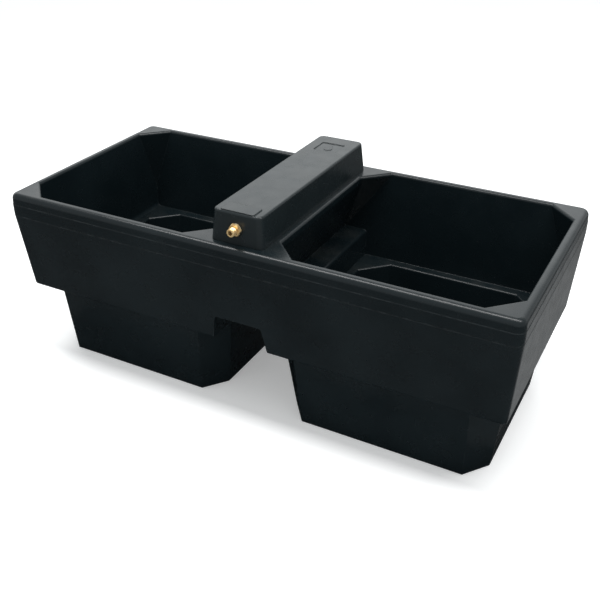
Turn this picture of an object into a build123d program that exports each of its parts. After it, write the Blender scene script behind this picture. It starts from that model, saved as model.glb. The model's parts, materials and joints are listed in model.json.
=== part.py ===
from build123d import *
import math
import os

# Double drinking trough for livestock: one hollow moulding with two basins, and a lift-off
# service cover that carries a brass float valve.
# Millimetres, +X along the length, +Y to the back, +Z up.
# Origin: centre of the footprint, on the ground.

# ---------------------------------------------------------------- trough moulding
LENGTH = 1500.0
WIDTH = 686.0
RIM_Z = 535.0
RIM_CORNER_R = 26.0
RIM_OUTER_R = 16.0
RIM_INNER_R = 8.0
GROOVE_Z = 470.0
GROOVE_DEPTH = 0.9
GROOVE_HALF_H = 1.6
CREASE_Z = 503.0
CREASE_STEP = 0.7
SHOULDER_LEAN = 2.3

UPPER_Z = 230.0
UPPER_LENGTH = 1472.0
UPPER_WIDTH = 628.0
UPPER_CORNER_R = 12.0
UPPER_EDGE_R = 6.0

SUMP_OUT_TOP = 710.0
SUMP_OUT_FOOT = 688.0
SUMP_IN_TOP = 85.0
SUMP_IN_FOOT = 115.0
SUMP_HALF_W_TOP = 293.0
SUMP_HALF_W_FOOT = 271.0
SUMP_CORNER_X_TOP = 68.0
SUMP_CORNER_X_FOOT = 52.0
SUMP_CORNER_Y_TOP = 70.0
SUMP_CORNER_Y_FOOT = 69.0
SUMP_OVERLAP = 14.0
SUMP_FOOT_R = 3.0

TUNNEL_ROOF_Z = 307.0
TUNNEL_HALF_TOP = 71.5
TUNNEL_ROOF_R = 9.0

# ---------------------------------------------------------------- inside of the basins
LEDGE_Z = 256.0
BASIN_OUT_TOP = 722.0
BASIN_OUT_LEDGE = 711.0
BASIN_HALF_W_TOP = 313.0
BASIN_HALF_W_LEDGE = 291.0
BASIN_CORNER_R = 14.0
BAR_X = 94.0
BAR_Z = 513.0
BAR_R = 24.0
SADDLE_FOOT_X = 24.0
SHELF_Z = 338.0
SHELF_X = 97.0
SHELF_R = 9.0
SHELF_FOOT_X = 100.0

WELL_FLOOR_Z = 26.0
WELL_OUT_TOP = 672.0
WELL_OUT_FOOT = 660.0
WELL_IN_TOP = 124.0
WELL_IN_FOOT = 143.0
WELL_HALF_W_TOP = 261.0
WELL_HALF_W_FOOT = 235.0
WELL_CORNER_TOP = 76.0
WELL_CORNER_FOOT = 52.0
WELL_FLOOR_R = 12.0
LEDGE_EDGE_R = 6.0

GUSSET_LEG = 77.0
GUSSET_TAPER_Z = 330.0
GUSSET_OVERLAP = 0.06

OVERSHOOT = 20.0  # how far a cutting shape runs past the face it opens
SAME_HEIGHT = 0.01

# ---------------------------------------------------------------- valve chamber
CHAMBER_HALF_TOP = 68.0
CHAMBER_HALF_FOOT = 19.0
CHAMBER_FLOOR_Z = 362.0
CHAMBER_HALF_L = 304.0
CHAMBER_FLOOR_R = 8.0
PORT_Y = -215.0
PORT_W = 70.0
PORT_Z = 386.0
PORT_H = 36.0
PORT_R = 8.0
PORT_REACH = 75.0

# ---------------------------------------------------------------- service cover
COVER_FOOT_HALF_W = 78.4
COVER_FOOT_HALF_L = 314.0
COVER_TOP_HALF_W = 71.0
COVER_TOP_HALF_L = 306.0
COVER_TOP_Z = 620.0
COVER_CORNER_R = 18.0
COVER_EDGE_R = 6.0
COVER_WALL = 5.0
SKIRT_GAP = 6.0
SKIRT_WALL = 4.0
SKIRT_DROP = 12.0
PAD_W = 98.0
PAD_L = 46.0
PAD_Y = -280.0
PAD_H = 2.5
PAD_R = 5.0
BADGE_W = 72.0
BADGE_L = 68.0
BADGE_Y = 218.0
BADGE_DEPTH = 2.0
BADGE_R = 3.0
DROP_R = 13.0
DROP_TIP = 30.0
DROP_H = 1.2

# ---------------------------------------------------------------- float valve
VALVE_X = 0.0
VALVE_Z = 577.0
SPOT_FACE_Y = -308.6
SPOT_FACE_R = 21.0
BOSS_R = 23.0
BOSS_FACE_Y = -302.6
INLET_HOLE_R = 10.7

TAIL_END_Y = -338.0
TAIL_R = 10.48
TAIL_CHAMFER = 1.0
SHANK_START_Y = -320.0
SHANK_R = 10.3
INLET_BORE_R = 6.0
NUT_FLATS = 30.0
NUT_T = 9.0
NUT_CORNER_TRIM = 0.6
NUT_CHAMFER = 1.2
OUTER_WASHER_R = 15.0
OUTER_WASHER_T = 1.5
INNER_WASHER_R = 17.0
INNER_WASHER_T = 2.0
FLANGE_R = 18.0
FLANGE_T = 4.0
BODY_R = 13.0
BODY_END_Y = -243.0
CYLINDER_R = 7.0
CYLINDER_WALL = 2.0

SEAT_Y = -288.0
SEAT_L = 6.0
SEAT_NOSE_L = 2.5
SEAT_NOSE_R = 3.5
SEAT_JET_R = 2.0
SEAT_R = 6.95

PISTON_R = 6.94
PISTON_WASHER_Y = -275.8
PISTON_WASHER_T = 3.0
PISTON_WASHER_R = 5.0
PISTON_FACE_Y = -270.0
PISTON_END_Y = -246.3
PISTON_SLOT_W = 5.0
PISTON_SLOT_TOP = 1.9
RETAINER_BORE_R = 3.9
RETAINER_LIP = 0.8

END_CAP_R = 14.0
END_CAP_T = 5.0
END_CAP_CHAMFER = 1.0
END_CAP_SPIGOT_L = 3.0
END_CAP_HOLE_R = 1.5

SPOUT_Y = -279.0
SPOUT_BORE_R = 5.0
SPOUT_R = 8.0
SPOUT_END_Z = 554.0
DEFLECTOR_R = 10.0
DEFLECTOR_TOP_Z = 561.0
DEFLECTOR_END_Z = 505.0

PIVOT_Y = -258.2
PIVOT_Z = 561.0
PIN_R = 2.5
PIN_HEAD_R = 4.0
PIN_HEAD_T = 1.5
LEVER_BORE_R = 2.55
LEVER_HALF_W = 3.4
LUG_GAP = 3.6
LUG_T = 4.4
LUG_HALF_L = 7.5
HUB_R = 6.0
FINGER_REACH = 15.0
FINGER_TIP_R = 2.4
FINGER_T = 3.0
LEVER_SWING = 14.0
ARM_DROP = 30.0
ARM_START = 4.0
SOCKET_START = 14.0
SOCKET_END = 30.0
SOCKET_R = 5.0
ARM_R = 3.2
ROD_R = 3.0
ROD_EMBED = 10.0

FLOAT_REACH = 240.0
FLOAT_R = 28.0
FLOAT_L = 150.0
FLOAT_WALL = 2.5
INSERT_R = 7.0
INSERT_L = 26.0
INSERT_PROUD = 5.0
LOCKNUT_FLATS = 12.0
LOCKNUT_T = 6.0

# ---------------------------------------------------------------- drains
DRAIN_X = 400.0
DRAIN_Z = 62.0
DRAIN_BOSS_R = 34.0
DRAIN_BOSS_Y = 280.0
DRAIN_BOSS_START_Y = 244.0
DRAIN_BUSH_R = 22.0
DRAIN_BUSH_START_Y = 238.0
DRAIN_THREAD_R = 16.62
DRAIN_PLUG_R = 16.55
DRAIN_PLUG_START_Y = 244.0
DRAIN_PLUG_HEAD_R = 26.0
DRAIN_PLUG_HEAD_T = 6.0
DRAIN_PLUG_CHAMFER = 1.0
DRAIN_GRIP_W = 12.0
DRAIN_GRIP_L = 44.0
DRAIN_GRIP_H = 12.0
DRAIN_GRIP_R = 4.0
DRAIN_SEAL_T = 3.0
DRAIN_SEAL_R = 24.0


# ---------------------------------------------------------------- helpers
def line_at(z, z0, v0, z1, v1):
    """Value at height z on the straight line through (z0, v0) and (z1, v1)."""
    return v0 + (v1 - v0) * (z - z0) / (z1 - z0)


def taper(lower, lower_z, upper, upper_z):
    """Straight-sided solid between two outlines at two heights."""
    return loft([Pos(0, 0, lower_z) * lower, Pos(0, 0, upper_z) * upper], ruled=True)


def outline(points):
    """Face inside a closed run of straight lines."""
    return make_face(Polyline(*points, close=True))


def cut_corner_box(x_in, x_out, half_w, leg_x, leg_y):
    """Rectangle from x_in to x_out with its four corners cut off."""
    return outline([
        (x_in + leg_x, -half_w),
        (x_out - leg_x, -half_w),
        (x_out, -half_w + leg_y),
        (x_out, half_w - leg_y),
        (x_out - leg_x, half_w),
        (x_in + leg_x, half_w),
        (x_in, half_w - leg_y),
        (x_in, -half_w + leg_y),
    ])


def round_corner(face, x, y, radius):
    """Round the corner of a flat face that lies nearest to (x, y)."""
    corner = face.vertices().sort_by(lambda v: math.hypot(v.X - x, v.Y - y))[0]
    return fillet(corner, radius)


def along_x(face, x0, x1):
    """Extrude an outline drawn as (y, z) from x0 to x1."""
    plane = Plane(origin=(x0, 0, 0), x_dir=(0, 1, 0), z_dir=(1, 0, 0))
    return extrude(plane * face, x1 - x0)


def along_y(face, y0, y1):
    """Extrude an outline drawn as (x, z) from y0 to y1."""
    plane = Plane(origin=(0, y1, 0), x_dir=(1, 0, 0), z_dir=(0, -1, 0))
    return extrude(plane * face, y1 - y0)


def block(size_x, size_y, size_z, stands_on_origin):
    """Box centred on X and Y that stands on the origin, or hangs below it."""
    z_side = Align.MIN if stands_on_origin else Align.MAX
    return Box(size_x, size_y, size_z, align=(Align.CENTER, Align.CENTER, z_side))


def y_rod(radius, y0, y1, x=VALVE_X, z=VALVE_Z):
    """Round bar along Y."""
    return along_y(Pos(x, z) * Circle(radius), y0, y1)


def x_rod(radius, x0, x1, y, z):
    """Round bar along X."""
    return along_x(Pos(y, z) * Circle(radius), x0, x1)


def z_rod(radius, z0, z1, x, y):
    """Round bar along Z."""
    return Pos(x, y, z0) * extrude(Circle(radius), z1 - z0)


def y_tube(outer, inner, y0, y1, x=VALVE_X, z=VALVE_Z):
    """Ring along Y."""
    return y_rod(outer, y0, y1, x, z) - y_rod(inner, y0, y1, x, z)


def mirrored(part):
    """The same solid on the other side of the middle of the trough."""
    return mirror(part, about=Plane.YZ)


# ---------------------------------------------------------------- trough
def tub_outline(half_length, half_width, inset, corner_r):
    return RectangleRounded(2 * (half_length - inset), 2 * (half_width - inset), corner_r)


def rim_outline(inset):
    return tub_outline(LENGTH / 2, WIDTH / 2, inset, RIM_CORNER_R - inset)


def upper_block():
    """Outside of the upper tub: drafted walls, a groove, and a straight band up to the rim."""
    foot = tub_outline(UPPER_LENGTH / 2, UPPER_WIDTH / 2, 0, UPPER_CORNER_R)
    wall = taper(foot, UPPER_Z, rim_outline(0), GROOVE_Z - GROOVE_HALF_H)
    wall = fillet(wall.edges().group_by(Axis.Z)[0], UPPER_EDGE_R)
    profile = [
        (GROOVE_Z - GROOVE_HALF_H, 0),
        (GROOVE_Z, GROOVE_DEPTH),
        (GROOVE_Z + GROOVE_HALF_H, 0),
        (CREASE_Z, 0),
        (CREASE_Z + CREASE_STEP, CREASE_STEP),
        (RIM_Z, CREASE_STEP + SHOULDER_LEAN),
    ]
    rings = [Pos(0, 0, z) * rim_outline(inset) for z, inset in profile]
    rim = loft(rings, ruled=True)
    rim = fillet(rim.faces().sort_by(Axis.Z)[-1].edges(), RIM_OUTER_R)
    return wall + rim


def sump_block():
    """Outside of the right-hand sump."""
    foot = cut_corner_box(
        SUMP_IN_FOOT, SUMP_OUT_FOOT, SUMP_HALF_W_FOOT, SUMP_CORNER_X_FOOT, SUMP_CORNER_Y_FOOT
    )
    top_z = UPPER_Z + SUMP_OVERLAP
    top = cut_corner_box(
        line_at(top_z, 0, SUMP_IN_FOOT, UPPER_Z, SUMP_IN_TOP),
        line_at(top_z, 0, SUMP_OUT_FOOT, UPPER_Z, SUMP_OUT_TOP),
        line_at(top_z, 0, SUMP_HALF_W_FOOT, UPPER_Z, SUMP_HALF_W_TOP),
        line_at(top_z, 0, SUMP_CORNER_X_FOOT, UPPER_Z, SUMP_CORNER_X_TOP),
        line_at(top_z, 0, SUMP_CORNER_Y_FOOT, UPPER_Z, SUMP_CORNER_Y_TOP),
    )
    sump = taper(foot, 0, top, top_z)
    return fillet(sump.edges().group_by(Axis.Z)[0], SUMP_FOOT_R)


def drain_boss():
    """Flat-faced boss round the drain of the right-hand sump."""
    return y_rod(DRAIN_BOSS_R, DRAIN_BOSS_START_Y, DRAIN_BOSS_Y, DRAIN_X, DRAIN_Z)


def drain_bore():
    start_y = DRAIN_BUSH_START_Y - OVERSHOOT
    return y_rod(DRAIN_BUSH_R, start_y, DRAIN_BOSS_Y + OVERSHOOT, DRAIN_X, DRAIN_Z)


def tunnel():
    """Passage from front to back between the sumps."""
    low_z = UPPER_Z - SUMP_OVERLAP
    low_half = line_at(low_z, 0, SUMP_IN_FOOT, UPPER_Z, SUMP_IN_TOP)
    face = outline([
        (-low_half, low_z),
        (low_half, low_z),
        (SUMP_IN_TOP, UPPER_Z),
        (TUNNEL_HALF_TOP, TUNNEL_ROOF_Z),
        (-TUNNEL_HALF_TOP, TUNNEL_ROOF_Z),
        (-SUMP_IN_TOP, UPPER_Z),
    ])
    for side in (-1, 1):
        face = round_corner(face, side * TUNNEL_HALF_TOP, TUNNEL_ROOF_Z, TUNNEL_ROOF_R)
    return along_y(face, -WIDTH, WIDTH)


def basin():
    """Space inside the right-hand basin above the ledge."""
    above = RIM_Z + OVERSHOOT
    side = outline([
        (SHELF_FOOT_X, LEDGE_Z),
        (BASIN_OUT_LEDGE, LEDGE_Z),
        (line_at(above, LEDGE_Z, BASIN_OUT_LEDGE, RIM_Z, BASIN_OUT_TOP), above),
        (BAR_X, above),
        (BAR_X, BAR_Z),
        (SADDLE_FOOT_X, SHELF_Z),
        (SHELF_X, SHELF_Z),
    ])
    side = round_corner(side, BAR_X, BAR_Z, BAR_R)
    side = round_corner(side, SHELF_X, SHELF_Z, SHELF_R)
    side = round_corner(side, BASIN_OUT_LEDGE, LEDGE_Z, BASIN_CORNER_R)
    half_above = line_at(above, LEDGE_Z, BASIN_HALF_W_LEDGE, RIM_Z, BASIN_HALF_W_TOP)
    end = outline([
        (-BASIN_HALF_W_LEDGE, LEDGE_Z),
        (BASIN_HALF_W_LEDGE, LEDGE_Z),
        (half_above, above),
        (-half_above, above),
    ])
    return along_y(side, -WIDTH, WIDTH) & along_x(end, 0, LENGTH)


def well():
    """Space inside the right-hand sump, up to the ledge."""
    foot = cut_corner_box(
        WELL_IN_FOOT, WELL_OUT_FOOT, WELL_HALF_W_FOOT, WELL_CORNER_FOOT, WELL_CORNER_FOOT
    )
    top = cut_corner_box(
        WELL_IN_TOP, WELL_OUT_TOP, WELL_HALF_W_TOP, WELL_CORNER_TOP, WELL_CORNER_TOP
    )
    space = taper(foot, WELL_FLOOR_Z, top, LEDGE_Z)
    space = fillet(space.edges().group_by(Axis.Z)[0], WELL_FLOOR_R)
    return space + Pos(0, 0, LEDGE_Z) * extrude(top, 1)


def gusset(corner_x, side_x, side_y, low_x, low_z):
    """Flat corner web that tapers away down the corner of a basin.

    side_x and side_y give the way from the corner into the basin, and (low_x, low_z) is
    where the taper ends on the side wall.
    """
    corner_y = -side_y * BASIN_HALF_W_TOP
    low_y = -side_y * line_at(low_z, LEDGE_Z, BASIN_HALF_W_LEDGE, RIM_Z, BASIN_HALF_W_TOP)
    end_a = Vector(corner_x + side_x * GUSSET_LEG, corner_y, RIM_Z)
    end_b = Vector(corner_x, corner_y + side_y * GUSSET_LEG, RIM_Z)
    middle = (end_a + end_b) * 0.5
    low = Vector(low_x, low_y, low_z)
    end_a, end_b = (
        end_a + (end_a - end_b) * GUSSET_OVERLAP,
        end_b + (end_b - end_a) * GUSSET_OVERLAP,
    )
    low = low + (low - middle) * GUSSET_OVERLAP
    inset = GUSSET_LEG * GUSSET_OVERLAP
    corner = Vector(corner_x - side_x * inset, corner_y - side_y * inset, RIM_Z)
    top = make_face(Polyline(end_a, end_b, corner, close=True))
    return loft([top, Vertex(low.X, low.Y, low.Z)])


def basin_gussets():
    """The four corner webs of the right-hand basin."""
    out_low_x = line_at(GUSSET_TAPER_Z, LEDGE_Z, BASIN_OUT_LEDGE, RIM_Z, BASIN_OUT_TOP)
    webs = []
    for side_y in (-1, 1):
        webs.append(gusset(BASIN_OUT_TOP, -1, side_y, out_low_x, GUSSET_TAPER_Z))
        webs.append(gusset(BAR_X, 1, side_y, SADDLE_FOOT_X, SHELF_Z))
    return webs


def valve_chamber():
    """V-shaped chamber between the basins that the float hangs in."""
    above = RIM_Z + OVERSHOOT
    face = outline([
        (-CHAMBER_HALF_FOOT, CHAMBER_FLOOR_Z),
        (CHAMBER_HALF_FOOT, CHAMBER_FLOOR_Z),
        (CHAMBER_HALF_TOP, RIM_Z),
        (CHAMBER_HALF_TOP, above),
        (-CHAMBER_HALF_TOP, above),
        (-CHAMBER_HALF_TOP, RIM_Z),
    ])
    for side in (-1, 1):
        face = round_corner(face, side * CHAMBER_HALF_FOOT, CHAMBER_FLOOR_Z, CHAMBER_FLOOR_R)
    return along_y(face, -CHAMBER_HALF_L, CHAMBER_HALF_L)


def water_port():
    """Passage through both chamber walls, so one valve fills both basins."""
    face = Pos(PORT_Y, PORT_Z) * RectangleRounded(PORT_W, PORT_H, PORT_R)
    return along_x(face, -PORT_REACH, PORT_REACH)


def lies_at(edge, z):
    """True for an edge that lies wholly at height z."""
    box = edge.bounding_box()
    return abs(box.min.Z - z) < SAME_HEIGHT and abs(box.max.Z - z) < SAME_HEIGHT


def edges_round(body, z, inner_x, outer_x, outer_y):
    """Edges at height z round a basin: between two distances from the middle, inside a width."""
    return [
        edge for edge in body.edges()
        if lies_at(edge, z)
        and inner_x - 1 < abs(edge.center().X) < outer_x + 1
        and abs(edge.center().Y) < outer_y + 1
    ]


def trough_body():
    sump = sump_block() + drain_boss()
    body = upper_block() + sump + mirrored(sump)
    body -= tunnel()
    for space in (basin(), well(), drain_bore()):
        body = body - space - mirrored(space)
    for web in basin_gussets():
        body = body + web + mirrored(web)
    body = body - valve_chamber() - water_port()
    mouths = edges_round(body, RIM_Z, BAR_X, BASIN_OUT_TOP, BASIN_HALF_W_TOP)
    body = fillet(mouths, RIM_INNER_R)
    ledges = edges_round(body, LEDGE_Z, WELL_IN_TOP, WELL_OUT_TOP, WELL_HALF_W_TOP)
    return fillet(ledges, LEDGE_EDGE_R)


# ---------------------------------------------------------------- service cover
def cover_outline(z, inset):
    half_w = line_at(z, RIM_Z, COVER_FOOT_HALF_W, COVER_TOP_Z, COVER_TOP_HALF_W)
    half_l = line_at(z, RIM_Z, COVER_FOOT_HALF_L, COVER_TOP_Z, COVER_TOP_HALF_L)
    return RectangleRounded(2 * (half_w - inset), 2 * (half_l - inset), COVER_CORNER_R - inset)


def cover_shell():
    """Drafted box, open underneath, with a turned-in foot."""
    outside = taper(cover_outline(RIM_Z, 0), RIM_Z, cover_outline(COVER_TOP_Z, 0), COVER_TOP_Z)
    outside = fillet(outside.edges().group_by(Axis.Z)[-1], COVER_EDGE_R)
    foot_z = RIM_Z + COVER_WALL
    roof_z = COVER_TOP_Z - COVER_WALL
    inside = taper(
        cover_outline(foot_z, COVER_WALL), foot_z,
        cover_outline(roof_z, COVER_WALL), roof_z,
    )
    return outside - inside


def skirt_box(inset, z0, z1):
    """Block that fits the mouth of the valve chamber with the given inset."""
    face = RectangleRounded(
        2 * (CHAMBER_HALF_TOP - inset),
        2 * (CHAMBER_HALF_L - inset),
        SKIRT_GAP,
    )
    return Pos(0, 0, z0) * extrude(face, z1 - z0)


def water_drop():
    """Flat outline of a drop of water, point to the back."""
    lean = math.asin(DROP_R / DROP_TIP)
    side_x = DROP_R * math.cos(lean)
    side_y = DROP_R * math.sin(lean)
    flanks = outline([(0, DROP_TIP), (-side_x, side_y), (0, 0), (side_x, side_y)])
    return Circle(DROP_R) + flanks


def service_cover():
    cover = cover_shell()
    skirt_z = RIM_Z - SKIRT_DROP
    cover += skirt_box(SKIRT_GAP, skirt_z, RIM_Z)
    cover -= skirt_box(SKIRT_GAP + SKIRT_WALL, skirt_z - 1, RIM_Z + COVER_WALL)
    boss = y_rod(BOSS_R, -COVER_FOOT_HALF_L, BOSS_FACE_Y)
    envelope = taper(cover_outline(RIM_Z, 0), RIM_Z, cover_outline(COVER_TOP_Z, 0), COVER_TOP_Z)
    cover += boss & envelope
    cover -= y_rod(SPOT_FACE_R, -COVER_FOOT_HALF_L - OVERSHOOT, SPOT_FACE_Y)
    cover -= y_rod(INLET_HOLE_R, -COVER_FOOT_HALF_L - OVERSHOOT, BOSS_FACE_Y + OVERSHOOT)
    pad = Pos(VALVE_X, PAD_Y) * RectangleRounded(PAD_W, PAD_L, PAD_R)
    cover += Pos(0, 0, COVER_TOP_Z - 1) * extrude(pad, PAD_H + 1)
    recess_z = COVER_TOP_Z - BADGE_DEPTH
    badge = Pos(0, BADGE_Y) * RectangleRounded(BADGE_W, BADGE_L, BADGE_R)
    cover -= Pos(0, 0, recess_z) * extrude(badge, BADGE_DEPTH + 1)
    drop_y = BADGE_Y - (DROP_TIP - DROP_R) / 2
    cover += Pos(0, drop_y, recess_z) * extrude(water_drop(), DROP_H)
    return cover


# ---------------------------------------------------------------- float valve
def hex_ring(flats, bore_r, y0, y1):
    """Hexagon nut along the valve's axis, corners eased, two flats level."""
    across_corners = flats / math.cos(math.radians(30))
    hexagon = RegularPolygon(flats / 2, 6, major_radius=False)
    nut = along_y(Pos(VALVE_X, VALVE_Z) * hexagon, y0, y1)
    middle_y = (y0 + y1) / 2
    crown = y_rod(across_corners / 2 - NUT_CORNER_TRIM, y0, middle_y)
    crown = chamfer(crown.edges().group_by(Axis.Y)[0], NUT_CHAMFER)
    nut = nut & (crown + y_rod(across_corners, middle_y, y1))
    return nut - y_rod(bore_r, y0 - 1, y1 + 1)


def inlet_backnut():
    end_y = SPOT_FACE_Y - OUTER_WASHER_T
    return hex_ring(NUT_FLATS, SHANK_R, end_y - NUT_T, end_y)


def outer_washer():
    return y_tube(OUTER_WASHER_R, SHANK_R, SPOT_FACE_Y - OUTER_WASHER_T, SPOT_FACE_Y)


def inner_washer():
    return y_tube(INNER_WASHER_R, SHANK_R, BOSS_FACE_Y, BOSS_FACE_Y + INNER_WASHER_T)


def finger_middle_y():
    """Where the finger's tip stands along the piston with the float down."""
    return PIVOT_Y + FINGER_REACH * math.sin(math.radians(LEVER_SWING / 2))


def valve_body():
    flange_y = BOSS_FACE_Y + INNER_WASHER_T
    tail = y_rod(TAIL_R, TAIL_END_Y, SHANK_START_Y)
    tail = chamfer(tail.edges().group_by(Axis.Y)[0], TAIL_CHAMFER)
    body = tail + y_rod(SHANK_R, SHANK_START_Y, flange_y)
    body += y_rod(FLANGE_R, flange_y, flange_y + FLANGE_T)
    body += y_rod(BODY_R, flange_y, BODY_END_Y)
    body += z_rod(SPOUT_R, SPOUT_END_Z, VALVE_Z, VALVE_X, SPOUT_Y)
    lug_top_z = VALVE_Z - CYLINDER_R - CYLINDER_WALL
    for side in (-1, 1):
        middle_x = VALVE_X + side * (LUG_GAP + LUG_T / 2)
        lug = block(LUG_T, 2 * LUG_HALF_L, lug_top_z - PIVOT_Z, stands_on_origin=True)
        body += Pos(middle_x, PIVOT_Y, PIVOT_Z) * lug
        body += x_rod(LUG_HALF_L, middle_x - LUG_T / 2, middle_x + LUG_T / 2, PIVOT_Y, PIVOT_Z)
    body -= y_rod(INLET_BORE_R, TAIL_END_Y - 1, SEAT_Y)
    body -= y_rod(CYLINDER_R, SEAT_Y, BODY_END_Y + 1)
    body -= z_rod(SPOUT_BORE_R, SPOUT_END_Z - 1, VALVE_Z, VALVE_X, SPOUT_Y)
    slot = block(2 * LUG_GAP, 2 * LUG_HALF_L, BODY_R, stands_on_origin=False)
    body -= Pos(VALVE_X, PIVOT_Y, VALVE_Z - 1) * slot
    body -= x_rod(LUG_HALF_L + 1, VALVE_X - LUG_GAP, VALVE_X + LUG_GAP, PIVOT_Y, PIVOT_Z)
    body -= x_rod(PIN_R, VALVE_X - BODY_R, VALVE_X + BODY_R, PIVOT_Y, PIVOT_Z)
    return body


def valve_seat():
    face_y = SEAT_Y + SEAT_L
    seat = y_rod(SEAT_R, SEAT_Y, face_y) + y_rod(SEAT_NOSE_R, face_y, face_y + SEAT_NOSE_L)
    return seat - y_rod(SEAT_JET_R, SEAT_Y - 1, face_y + SEAT_NOSE_L + 1)


def piston_washer():
    return y_rod(PISTON_WASHER_R, PISTON_WASHER_Y, PISTON_WASHER_Y + PISTON_WASHER_T)


def washer_retainer():
    """Cup that screws on the piston's nose and holds the rubber washer by its rim."""
    lip_y = PISTON_WASHER_Y - RETAINER_LIP
    cup = y_rod(PISTON_R, lip_y, PISTON_FACE_Y)
    cup -= y_rod(RETAINER_BORE_R, lip_y - 1, PISTON_FACE_Y)
    return cup - y_rod(PISTON_WASHER_R, PISTON_WASHER_Y, PISTON_FACE_Y + 1)


def valve_piston():
    nose_y = PISTON_WASHER_Y + PISTON_WASHER_T
    piston = y_rod(PISTON_WASHER_R, nose_y, PISTON_FACE_Y)
    piston += y_rod(PISTON_R, PISTON_FACE_Y, PISTON_END_Y)
    slot_top_z = PIVOT_Z + FINGER_REACH + FINGER_TIP_R + PISTON_SLOT_TOP
    slot = block(4 * PISTON_R, PISTON_SLOT_W, 4 * PISTON_R, stands_on_origin=False)
    return piston - Pos(VALVE_X, finger_middle_y(), slot_top_z) * slot


def body_end_cap():
    cap = y_rod(END_CAP_R, BODY_END_Y, BODY_END_Y + END_CAP_T)
    cap = chamfer(cap.edges().group_by(Axis.Y)[-1], END_CAP_CHAMFER)
    cap += y_rod(CYLINDER_R, BODY_END_Y - END_CAP_SPIGOT_L, BODY_END_Y)
    return cap - y_rod(END_CAP_HOLE_R, BODY_END_Y - OVERSHOOT, BODY_END_Y + OVERSHOOT)


def outlet_deflector():
    tube = z_rod(DEFLECTOR_R, DEFLECTOR_END_Z, DEFLECTOR_TOP_Z, VALVE_X, SPOUT_Y)
    return tube - z_rod(SPOUT_R, DEFLECTOR_END_Z - 1, DEFLECTOR_TOP_Z + 1, VALVE_X, SPOUT_Y)


# ---------------------------------------------------------------- lever, rod and float
def float_centre():
    """Middle of the float with the float down."""
    drop = math.radians(ARM_DROP)
    y = PIVOT_Y + FLOAT_REACH * math.cos(drop)
    z = PIVOT_Z - FLOAT_REACH * math.sin(drop)
    return Vector(VALVE_X, y, z)


def arm_plane(reach):
    """Plane across the float rod, at a distance from the pivot, facing the float."""
    pivot = Vector(VALVE_X, PIVOT_Y, PIVOT_Z)
    way = (float_centre() - pivot).normalized()
    return Plane(origin=pivot + way * reach, z_dir=way)


def arm_rod(radius, start, end):
    """Round bar along the float rod's line between two distances from the pivot."""
    return extrude(arm_plane(start) * Circle(radius), end - start)


def pivot_pin():
    end_x = LUG_GAP + LUG_T
    pin = x_rod(PIN_R, VALVE_X - end_x, VALVE_X + end_x, PIVOT_Y, PIVOT_Z)
    for side in (-1, 1):
        x0 = VALVE_X + side * end_x
        x1 = x0 + side * PIN_HEAD_T
        pin += x_rod(PIN_HEAD_R, min(x0, x1), max(x0, x1), PIVOT_Y, PIVOT_Z)
    return pin


def lever():
    """Hub on the pivot pin, with a finger up into the piston and a socket for the rod."""
    x0 = VALVE_X - LEVER_HALF_W
    x1 = VALVE_X + LEVER_HALF_W
    body = x_rod(HUB_R, x0, x1, PIVOT_Y, PIVOT_Z)
    finger = block(2 * LEVER_HALF_W, FINGER_T, FINGER_REACH, stands_on_origin=True)
    tip = x_rod(FINGER_TIP_R, -LEVER_HALF_W, LEVER_HALF_W, 0, FINGER_REACH)
    body += Pos(VALVE_X, PIVOT_Y, PIVOT_Z) * Rot(-LEVER_SWING / 2, 0, 0) * (finger + tip)
    body += arm_rod(ARM_R, ARM_START, SOCKET_END)
    body += arm_rod(SOCKET_R, SOCKET_START, SOCKET_END)
    body -= x_rod(LEVER_BORE_R, x0 - 1, x1 + 1, PIVOT_Y, PIVOT_Z)
    return body - arm_rod(ROD_R, SOCKET_END - ROD_EMBED, SOCKET_END + 1)


def float_rod():
    insert_start = FLOAT_REACH - FLOAT_L / 2
    return arm_rod(ROD_R, SOCKET_END - ROD_EMBED, insert_start + ROD_EMBED)


def rod_locknut():
    """Nut that locks the rod against the float's insert."""
    end = FLOAT_REACH - FLOAT_L / 2 - INSERT_PROUD
    nut = arm_plane(end - LOCKNUT_T) * RegularPolygon(LOCKNUT_FLATS / 2, 6, major_radius=False)
    return extrude(nut, LOCKNUT_T) - arm_rod(ROD_R, end - LOCKNUT_T - 1, end + 1)


def float_insert():
    start = FLOAT_REACH - FLOAT_L / 2 - INSERT_PROUD
    insert = arm_rod(INSERT_R, start, start + INSERT_L)
    return insert - arm_rod(ROD_R, start - 1, start + INSERT_PROUD + ROD_EMBED)


def capsule(radius, length):
    """Float shape: a cylinder with half-round ends, centred on the float's middle."""
    plane = arm_plane(FLOAT_REACH)
    straight = length / 2 - radius
    barrel = arm_rod(radius, FLOAT_REACH - straight, FLOAT_REACH + straight)
    for side in (-1, 1):
        barrel += plane * Pos(0, 0, side * straight) * Sphere(radius)
    return barrel


def float_ball():
    """Hollow float with a solid boss round the insert."""
    start = FLOAT_REACH - FLOAT_L / 2
    boss = arm_rod(INSERT_R + FLOAT_WALL, start, start + INSERT_L)
    hollow = capsule(FLOAT_R - FLOAT_WALL, FLOAT_L - 2 * FLOAT_WALL) - boss
    return capsule(FLOAT_R, FLOAT_L) - hollow - arm_rod(
        INSERT_R, start - INSERT_PROUD, start - INSERT_PROUD + INSERT_L
    )


# ---------------------------------------------------------------- drains
def drain_bush():
    return y_tube(DRAIN_BUSH_R, DRAIN_THREAD_R, DRAIN_BUSH_START_Y, DRAIN_BOSS_Y, DRAIN_X, DRAIN_Z)


def drain_seal():
    end_y = DRAIN_BOSS_Y + DRAIN_SEAL_T
    return y_tube(DRAIN_SEAL_R, DRAIN_PLUG_R, DRAIN_BOSS_Y, end_y, DRAIN_X, DRAIN_Z)


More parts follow.
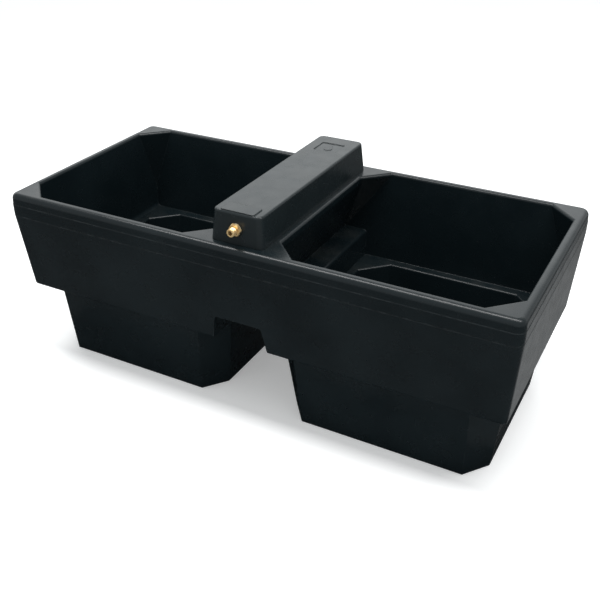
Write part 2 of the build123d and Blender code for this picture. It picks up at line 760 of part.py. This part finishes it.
def drain_plug():
    head_y = DRAIN_BOSS_Y + DRAIN_SEAL_T
    head_end_y = head_y + DRAIN_PLUG_HEAD_T
    plug = y_rod(DRAIN_PLUG_R, DRAIN_PLUG_START_Y, head_y, DRAIN_X, DRAIN_Z)
    head = y_rod(DRAIN_PLUG_HEAD_R, head_y, head_end_y, DRAIN_X, DRAIN_Z)
    plug += chamfer(head.edges().group_by(Axis.Y)[-1], DRAIN_PLUG_CHAMFER)
    grip = Pos(DRAIN_X, DRAIN_Z) * RectangleRounded(DRAIN_GRIP_L, DRAIN_GRIP_W, DRAIN_GRIP_R)
    return plug + along_y(grip, head_end_y, head_end_y + DRAIN_GRIP_H)


# ---------------------------------------------------------------- write the pieces
PIECES = {
    "trough_body": trough_body,
    "service_cover": service_cover,
    "valve_body": valve_body,
    "inlet_backnut": inlet_backnut,
    "outer_washer": outer_washer,
    "inner_washer": inner_washer,
    "valve_seat": valve_seat,
    "valve_piston": valve_piston,
    "piston_washer": piston_washer,
    "washer_retainer": washer_retainer,
    "body_end_cap": body_end_cap,
    "outlet_deflector": outlet_deflector,
    "pivot_pin": pivot_pin,
    "lever": lever,
    "float_rod": float_rod,
    "rod_locknut": rod_locknut,
    "float_insert": float_insert,
    "float_ball": float_ball,
    "drain_bush_right": drain_bush,
    "drain_seal_right": drain_seal,
    "drain_plug_right": drain_plug,
    "drain_bush_left": lambda: mirrored(drain_bush()),
    "drain_seal_left": lambda: mirrored(drain_seal()),
    "drain_plug_left": lambda: mirrored(drain_plug()),
}

os.makedirs("parts", exist_ok=True)
for name, build in PIECES.items():
    piece = build()
    box = piece.bounding_box()
    print(name, len(piece.solids()), round(piece.volume), box.min, box.max)
    export_step(piece, f"parts/{name}.step")
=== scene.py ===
import json
import math

import bpy
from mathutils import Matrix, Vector


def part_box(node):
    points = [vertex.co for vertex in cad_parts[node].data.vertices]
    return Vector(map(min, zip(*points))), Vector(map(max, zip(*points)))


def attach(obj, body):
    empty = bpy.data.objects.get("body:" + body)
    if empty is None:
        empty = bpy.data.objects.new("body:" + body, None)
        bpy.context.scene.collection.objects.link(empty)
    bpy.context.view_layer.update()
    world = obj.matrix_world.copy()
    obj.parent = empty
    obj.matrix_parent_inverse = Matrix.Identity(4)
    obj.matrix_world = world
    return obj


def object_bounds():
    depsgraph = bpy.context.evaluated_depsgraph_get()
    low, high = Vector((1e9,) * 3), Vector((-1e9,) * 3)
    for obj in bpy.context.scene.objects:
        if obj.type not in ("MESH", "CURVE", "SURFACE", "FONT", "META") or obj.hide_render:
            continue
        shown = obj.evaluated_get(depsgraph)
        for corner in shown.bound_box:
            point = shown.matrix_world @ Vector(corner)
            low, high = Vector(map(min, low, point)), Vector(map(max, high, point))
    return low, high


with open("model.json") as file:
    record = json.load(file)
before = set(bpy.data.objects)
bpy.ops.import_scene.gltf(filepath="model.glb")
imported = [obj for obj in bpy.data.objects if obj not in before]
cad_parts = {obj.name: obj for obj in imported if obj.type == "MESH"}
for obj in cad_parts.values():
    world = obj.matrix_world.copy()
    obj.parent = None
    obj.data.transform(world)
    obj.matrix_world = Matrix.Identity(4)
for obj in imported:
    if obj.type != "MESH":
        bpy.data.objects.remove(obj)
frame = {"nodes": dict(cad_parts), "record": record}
CAD_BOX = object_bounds()

# ---------------------------------------------------------------- look of the object
PLASTIC_DARK = (0.0036, 0.0066, 0.0080, 1)
PLASTIC_LIGHT = (0.0062, 0.0104, 0.0122, 1)
PLASTIC_WORN = (0.040, 0.048, 0.050, 1)
COVER_DARK = (0.0082, 0.0120, 0.0134, 1)
COVER_LIGHT = (0.0120, 0.0166, 0.0182, 1)
DUST = (0.070, 0.070, 0.064, 1)
PLASTIC_IOR = 1.36
PLASTIC_ROUGHNESS = (0.22, 0.29)
PLASTIC_EDGE_RADIUS = 0.003
GRAIN_SHARE = 0.35
WEAR_SHARE = 0.45
DUST_SHARE = 0.12
WAVES_DEPTH = 0.010
WAVES_STRENGTH = 0.04
ORANGE_PEEL_DEPTH = 0.0006
ORANGE_PEEL_STRENGTH = 0.16

BRASS_BRIGHT = (0.92, 0.68, 0.34, 1)
BRASS_DULL = (0.66, 0.44, 0.20, 1)
STEEL = (0.58, 0.58, 0.56, 1)
STEEL_DULL = (0.36, 0.36, 0.35, 1)
NYLON = (0.62, 0.58, 0.47, 1)
NYLON_STAINED = (0.42, 0.37, 0.27, 1)
RUBBER = (0.010, 0.010, 0.010, 1)
RUBBER_BLOOM = (0.035, 0.034, 0.032, 1)
FLOAT_ORANGE = (0.60, 0.13, 0.025, 1)
FLOAT_FADED = (0.66, 0.22, 0.08, 1)
METAL_SHARE = 0.70
BRASS_ROUGHNESS = (0.24, 0.40)
STEEL_ROUGHNESS = (0.22, 0.36)
RUBBER_ROUGHNESS = (0.62, 0.80)
NYLON_ROUGHNESS = (0.40, 0.55)
MOULDED_ROUGHNESS = (0.36, 0.50)
SMALL_EDGE_RADIUS = 0.0006
CAST_GRAIN_DEPTH = 0.0002
CAST_GRAIN_STRENGTH = 0.25
SKIN_GRAIN_DEPTH = 0.0003
SKIN_GRAIN_STRENGTH = 0.20

THREAD_PITCH = 0.001814
THREAD_LIFT = 0.00045
THREAD_MARGIN = 0.0013
THREAD_SIDES = 64
THREAD_RINGS_PER_TURN = 8

# ---------------------------------------------------------------- camera and studio
CAMERA_AZIMUTH = 27.94
CAMERA_ELEVATION = 30.58
CAMERA_DISTANCE = 2.523
CAMERA_LENS = 50.7
CAMERA_SENSOR = 36
AIM_RIGHT = 0.0158
AIM_UP = -0.0351
AIM_HEIGHT = 0.250

FLOOR_SIZE = 60.0
FLOOR_COLOUR = (0.92, 0.92, 0.92, 1)
FLOOR_PATCHES = (0.95, 0.95, 0.95, 1)
FLOOR_GLOW = 0.28
FLOOR_ROUGHNESS = 0.9
ROOM_COLOUR = (0.96, 0.99, 1.0, 1)
ROOM_LIGHT = 0.66
ROOM_LIGHT_BELOW = 0.12
BACK_PANEL_WAY = (-0.47, 0.88, 0.0)
BACK_PANEL_LIGHT = 1.15
LOW_PANEL_WAY = (0.20, 0.74, -0.64)
LOW_PANEL_LIGHT = 0.26
SHADE_CARD_MARGIN = 0.25
SHADE_CARD_Z = -0.001
SOFTBOX_SPOT = (0.25, -0.28, 2.7)
SOFTBOX_AIM = (0.25, 0, 0.4)
SOFTBOX_SIZE = (4.2, 0.55)
SOFTBOX_WATTS = 95


# ---------------------------------------------------------------- node helpers
def new_material(name):
    mat = bpy.data.materials.new(name)
    mat.use_nodes = True
    return mat, mat.node_tree, mat.node_tree.nodes["Principled BSDF"]


def place(tree):
    """Coordinates fixed to the piece, in metres."""
    return tree.nodes.new("ShaderNodeTexCoord").outputs["Object"]


def noise(tree, where, scale, detail=3.0):
    node = tree.nodes.new("ShaderNodeTexNoise")
    node.inputs["Scale"].default_value = scale
    node.inputs["Detail"].default_value = detail
    tree.links.new(where, node.inputs["Vector"])
    return node.outputs["Fac"]


def spread(tree, value, low, high, to_low=0.0, to_high=1.0):
    """Maps low..high of a value to to_low..to_high, held at the ends."""
    node = tree.nodes.new("ShaderNodeMapRange")
    node.inputs["From Min"].default_value = low
    node.inputs["From Max"].default_value = high
    node.inputs["To Min"].default_value = to_low
    node.inputs["To Max"].default_value = to_high
    tree.links.new(value, node.inputs["Value"])
    return node.outputs["Result"]


def math_node(tree, operation, a, b):
    node = tree.nodes.new("ShaderNodeMath")
    node.operation = operation
    tree.links.new(a, node.inputs[0])
    tree.links.new(b, node.inputs[1])
    return node.outputs["Value"]


def feed(tree, socket, value):
    """Sets a colour on a socket, or links one into it."""
    if isinstance(value, tuple):
        socket.default_value = value
    else:
        tree.links.new(value, socket)


def blend(tree, factor, a, b):
    """Colour a where the factor is 0, colour b where it is 1."""
    node = tree.nodes.new("ShaderNodeMix")
    node.data_type = "RGBA"
    colours = [s for s in node.inputs if s.type == "RGBA"]
    tree.links.new(factor, node.inputs["Factor"])
    feed(tree, colours[0], a)
    feed(tree, colours[1], b)
    return next(s for s in node.outputs if s.type == "RGBA")


def soft_edges(tree, radius):
    """Normal with edges rounded off by a few millimetres."""
    node = tree.nodes.new("ShaderNodeBevel")
    node.samples = 6
    node.inputs["Radius"].default_value = radius
    return node.outputs["Normal"]


def bump(tree, height, depth, strength, normal=None):
    node = tree.nodes.new("ShaderNodeBump")
    node.inputs["Distance"].default_value = depth
    node.inputs["Strength"].default_value = strength
    tree.links.new(height, node.inputs["Height"])
    if normal is not None:
        tree.links.new(normal, node.inputs["Normal"])
    return node.outputs["Normal"]


def facing_up(tree, low, high):
    """1 on level surfaces that face up, 0 on steep ones."""
    geometry = tree.nodes.new("ShaderNodeNewGeometry")
    split = tree.nodes.new("ShaderNodeSeparateXYZ")
    tree.links.new(geometry.outputs["Normal"], split.inputs["Vector"])
    return spread(tree, split.outputs["Z"], low, high)


def near_edges(tree, radius):
    """1 on edges, where the rounded-off normal leans away from the true one."""
    geometry = tree.nodes.new("ShaderNodeNewGeometry")
    node = tree.nodes.new("ShaderNodeVectorMath")
    node.operation = "DOT_PRODUCT"
    tree.links.new(soft_edges(tree, radius), node.inputs[0])
    tree.links.new(geometry.outputs["Normal"], node.inputs[1])
    return spread(tree, node.outputs["Value"], 0.995, 0.90)


# ---------------------------------------------------------------- materials
def moulded_plastic(name, dark, light):
    """Rotationally moulded polyethylene: satin, faint orange peel, scuffs and a little dust."""
    mat, tree, shader = new_material(name)
    where = place(tree)
    patches = spread(tree, noise(tree, where, 5.0), 0.35, 0.65)
    grain = spread(tree, noise(tree, where, 700.0, 1.0), 0.3, 0.7, 0.0, GRAIN_SHARE)
    colour = blend(tree, patches, dark, light)
    colour = blend(tree, grain, colour, light)
    rub = spread(tree, noise(tree, where, 40.0, 5.0), 0.45, 0.62)
    wear = math_node(tree, "MULTIPLY", near_edges(tree, PLASTIC_EDGE_RADIUS), rub)
    colour = blend(tree, spread(tree, wear, 0, 1, 0, WEAR_SHARE), colour, PLASTIC_WORN)
    settle = spread(tree, noise(tree, where, 14.0, 6.0), 0.42, 0.68, 0.0, DUST_SHARE)
    dust = math_node(tree, "MULTIPLY", facing_up(tree, 0.75, 0.98), settle)
    colour = blend(tree, dust, colour, DUST)
    tree.links.new(colour, shader.inputs["Base Color"])
    rough = spread(tree, noise(tree, where, 30.0, 5.0), 0.3, 0.7, *PLASTIC_ROUGHNESS)
    tree.links.new(rough, shader.inputs["Roughness"])
    shader.inputs["IOR"].default_value = PLASTIC_IOR
    normal = soft_edges(tree, PLASTIC_EDGE_RADIUS)
    waves = noise(tree, where, 7.0, 1.0)
    normal = bump(tree, waves, WAVES_DEPTH, WAVES_STRENGTH, normal)
    orange_peel = noise(tree, where, 330.0, 2.0)
    normal = bump(tree, orange_peel, ORANGE_PEEL_DEPTH, ORANGE_PEEL_STRENGTH, normal)
    tree.links.new(normal, shader.inputs["Normal"])
    return mat


def metal(name, bright, dull, roughness):
    mat, tree, shader = new_material(name)
    where = place(tree)
    tarnish = spread(tree, noise(tree, where, 90.0, 6.0), 0.38, 0.66)
    tree.links.new(blend(tree, tarnish, bright, dull), shader.inputs["Base Color"])
    shader.inputs["Metallic"].default_value = METAL_SHARE
    rough = spread(tree, noise(tree, where, 220.0, 4.0), 0.3, 0.7, *roughness)
    tree.links.new(rough, shader.inputs["Roughness"])
    normal = soft_edges(tree, SMALL_EDGE_RADIUS)
    grain = noise(tree, where, 900.0, 2.0)
    normal = bump(tree, grain, CAST_GRAIN_DEPTH, CAST_GRAIN_STRENGTH, normal)
    tree.links.new(normal, shader.inputs["Normal"])
    return mat


def plain_plastic(name, main, other, roughness):
    mat, tree, shader = new_material(name)
    where = place(tree)
    patches = spread(tree, noise(tree, where, 45.0, 5.0), 0.38, 0.66)
    tree.links.new(blend(tree, patches, main, other), shader.inputs["Base Color"])
    rough = spread(tree, noise(tree, where, 160.0, 4.0), 0.3, 0.7, *roughness)
    tree.links.new(rough, shader.inputs["Roughness"])
    normal = soft_edges(tree, SMALL_EDGE_RADIUS)
    grain = noise(tree, where, 500.0, 2.0)
    normal = bump(tree, grain, SKIN_GRAIN_DEPTH, SKIN_GRAIN_STRENGTH, normal)
    tree.links.new(normal, shader.inputs["Normal"])
    return mat


MATERIALS = {
    "black_polyethylene": moulded_plastic("trough plastic", PLASTIC_DARK, PLASTIC_LIGHT),
    "grey_polyethylene": moulded_plastic("cover plastic", COVER_DARK, COVER_LIGHT),
    "brass": metal("brass", BRASS_BRIGHT, BRASS_DULL, BRASS_ROUGHNESS),
    "stainless": metal("stainless steel", STEEL, STEEL_DULL, STEEL_ROUGHNESS),
    "rubber": plain_plastic("rubber", RUBBER, RUBBER_BLOOM, RUBBER_ROUGHNESS),
    "nylon": plain_plastic("nylon", NYLON, NYLON_STAINED, NYLON_ROUGHNESS),
    "float_plastic": plain_plastic("float plastic", FLOAT_ORANGE, FLOAT_FADED, MOULDED_ROUGHNESS),
    "plug_plastic": plain_plastic("plug plastic", RUBBER, RUBBER_BLOOM, MOULDED_ROUGHNESS),
}


def paint_cad_nodes():
    """Gives every CAD node the material of its slot in the record."""
    slots = {part["node"]: part["material_slot"] for part in frame["record"]["subparts"]}
    for name, obj in frame["nodes"].items():
        obj.data.materials[0] = MATERIALS[slots[name]]


# ---------------------------------------------------------------- inlet thread
def thread_ring(y, start, end, radius, centre_z):
    """One turn of points round the tail, lifted where the helical ridge passes."""
    fade = min(1.0, (y - start) / THREAD_PITCH, (end - y) / THREAD_PITCH)
    ring = []
    for step in range(THREAD_SIDES):
        turn = step / THREAD_SIDES
        phase = ((y - start) / THREAD_PITCH + turn) % 1.0
        ridge = 1.0 - abs(2.0 * phase - 1.0)
        reach = radius + THREAD_LIFT * ridge * fade
        angle = math.tau * turn
        ring.append((reach * math.cos(angle), y, centre_z + reach * math.sin(angle)))
    return ring


def make_inlet_thread():
    """Pipe thread on the part of the tail that stands outside the nut."""
    mount = next(m for m in frame["record"]["mounts"] if m["name"] == "water_inlet")
    radius = mount["dims"]["r_mm"] / 1000
    centre_z = mount["pos_m"][2]
    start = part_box("valve_body")[0].y + THREAD_MARGIN
    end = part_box("inlet_backnut")[0].y - THREAD_MARGIN
    count = round((end - start) / THREAD_PITCH * THREAD_RINGS_PER_TURN)
    points = thread_ring(start, start, end, radius - THREAD_LIFT, centre_z)
    for index in range(count + 1):
        y = start + (end - start) * index / count
        points += thread_ring(y, start, end, radius, centre_z)
    points += thread_ring(end, start, end, radius - THREAD_LIFT, centre_z)
    rings = len(points) // THREAD_SIDES
    faces = []
    for ring in range(rings):
        here = ring * THREAD_SIDES
        after = (ring + 1) % rings * THREAD_SIDES
        for step in range(THREAD_SIDES):
            beside = (step + 1) % THREAD_SIDES
            faces.append((here + step, after + step, after + beside, here + beside))
    mesh = bpy.data.meshes.new("inlet_thread")
    mesh.from_pydata(points, [], faces)
    mesh.materials.append(MATERIALS["brass"])
    thread = bpy.data.objects.new("inlet_thread", mesh)
    bpy.context.collection.objects.link(thread)
    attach(thread, "cover")


# ---------------------------------------------------------------- studio
def make_floor():
    mat, tree, shader = new_material("studio floor")
    where = place(tree)
    shade = spread(tree, noise(tree, where, 1.2, 2.0), 0.3, 0.7)
    tree.links.new(blend(tree, shade, FLOOR_COLOUR, FLOOR_PATCHES), shader.inputs["Base Color"])
    shader.inputs["Roughness"].default_value = FLOOR_ROUGHNESS
    shader.inputs["Emission Color"].default_value = FLOOR_COLOUR
    shader.inputs["Emission Strength"].default_value = FLOOR_GLOW
    bpy.ops.mesh.primitive_plane_add(size=FLOOR_SIZE)
    floor = bpy.context.object
    floor.name = "studio_floor"
    floor.data.materials.append(mat)
    floor.visible_glossy = False


def make_softbox():
    """Long softbox overhead. The camera doesn't see it."""
    data = bpy.data.lights.new("overhead softbox", "AREA")
    data.shape = "RECTANGLE"
    data.size, data.size_y = SOFTBOX_SIZE
    data.energy = SOFTBOX_WATTS
    light = bpy.data.objects.new("overhead softbox", data)
    light.location = SOFTBOX_SPOT
    light.rotation_mode = "QUATERNION"
    way = Vector(SOFTBOX_AIM) - Vector(SOFTBOX_SPOT)
    light.rotation_quaternion = way.to_track_quat("-Z", "Y")
    light.visible_camera = False
    bpy.context.collection.objects.link(light)


def make_shade_card():
    """Dark card under the trough that shows only in reflections, as the shaded floor would."""
    mat, tree, shader = new_material("shade card")
    colour = blend(tree, noise(tree, place(tree), 3.0), PLASTIC_DARK, PLASTIC_LIGHT)
    tree.links.new(colour, shader.inputs["Base Color"])
    low, high = CAD_BOX
    width = high[0] - low[0]
    depth = high[1] - low[1] + 2 * SHADE_CARD_MARGIN
    spot = (0, SHADE_CARD_MARGIN / 2, SHADE_CARD_Z)
    bpy.ops.mesh.primitive_plane_add(size=1.0, location=spot)
    card = bpy.context.object
    card.name = "shade_card"
    card.scale = (width, depth, 1)
    card.data.materials.append(mat)
    card.visible_camera = False
    card.visible_diffuse = False
    card.visible_shadow = False


def toward(tree, direction, way, low, high):
    """1 where a direction points along a way, 0 where it points elsewhere."""
    node = tree.nodes.new("ShaderNodeVectorMath")
    node.operation = "DOT_PRODUCT"
    tree.links.new(direction, node.inputs[0])
    node.inputs[1].default_value = way
    return spread(tree, node.outputs["Value"], low, high)


def make_surroundings():
    """Even room light, a tall bright panel behind to the left and a low one to the right."""
    world = bpy.data.worlds.new("studio surroundings")
    world.use_nodes = True
    tree = world.node_tree
    direction = tree.nodes.new("ShaderNodeTexCoord").outputs["Generated"]
    split = tree.nodes.new("ShaderNodeSeparateXYZ")
    tree.links.new(direction, split.inputs["Vector"])
    height = split.outputs["Z"]
    room = spread(tree, height, -0.25, -0.03, ROOM_LIGHT_BELOW, ROOM_LIGHT)
    back = toward(tree, direction, BACK_PANEL_WAY, 0.55, 0.76)
    back = math_node(tree, "MULTIPLY", back, spread(tree, height, 0.15, 0.35))
    back_top = spread(tree, height, 0.66, 0.82, BACK_PANEL_LIGHT, 0)
    back = math_node(tree, "MULTIPLY", back, back_top)
    low = toward(tree, direction, LOW_PANEL_WAY, 0.93, 0.98)
    low_top = spread(tree, height, -0.10, 0.02, LOW_PANEL_LIGHT, 0)
    low = math_node(tree, "MULTIPLY", low, low_top)
    light = math_node(tree, "ADD", math_node(tree, "ADD", room, back), low)
    background = tree.nodes["Background"]
    background.inputs["Color"].default_value = ROOM_COLOUR
    tree.links.new(light, background.inputs["Strength"])
    bpy.context.scene.world = world


def make_studio():
    make_floor()
    make_shade_card()
    make_surroundings()
    make_softbox()
    bpy.context.scene.view_settings.view_transform = "Standard"


def make_camera():
    azimuth = math.radians(CAMERA_AZIMUTH)
    elevation = math.radians(CAMERA_ELEVATION)
    back = Vector((
        math.sin(azimuth) * math.cos(elevation),
        -math.cos(azimuth) * math.cos(elevation),
        math.sin(elevation),
    ))
    right = Vector((math.cos(azimuth), math.sin(azimuth), 0))
    up = back.cross(right)
    aim = Vector((0, 0, AIM_HEIGHT)) + right * AIM_RIGHT + up * AIM_UP
    data = bpy.data.cameras.new("camera")
    data.lens = CAMERA_LENS
    data.sensor_width = CAMERA_SENSOR
    data.dof.use_dof = False
    camera = bpy.data.objects.new("camera", data)
    camera.location = aim + back * CAMERA_DISTANCE
    camera.rotation_mode = "QUATERNION"
    camera.rotation_quaternion = (-back).to_track_quat("-Z", "Y")
    bpy.context.collection.objects.link(camera)
    bpy.context.scene.camera = camera


paint_cad_nodes()
make_inlet_thread()
make_studio()
make_camera()
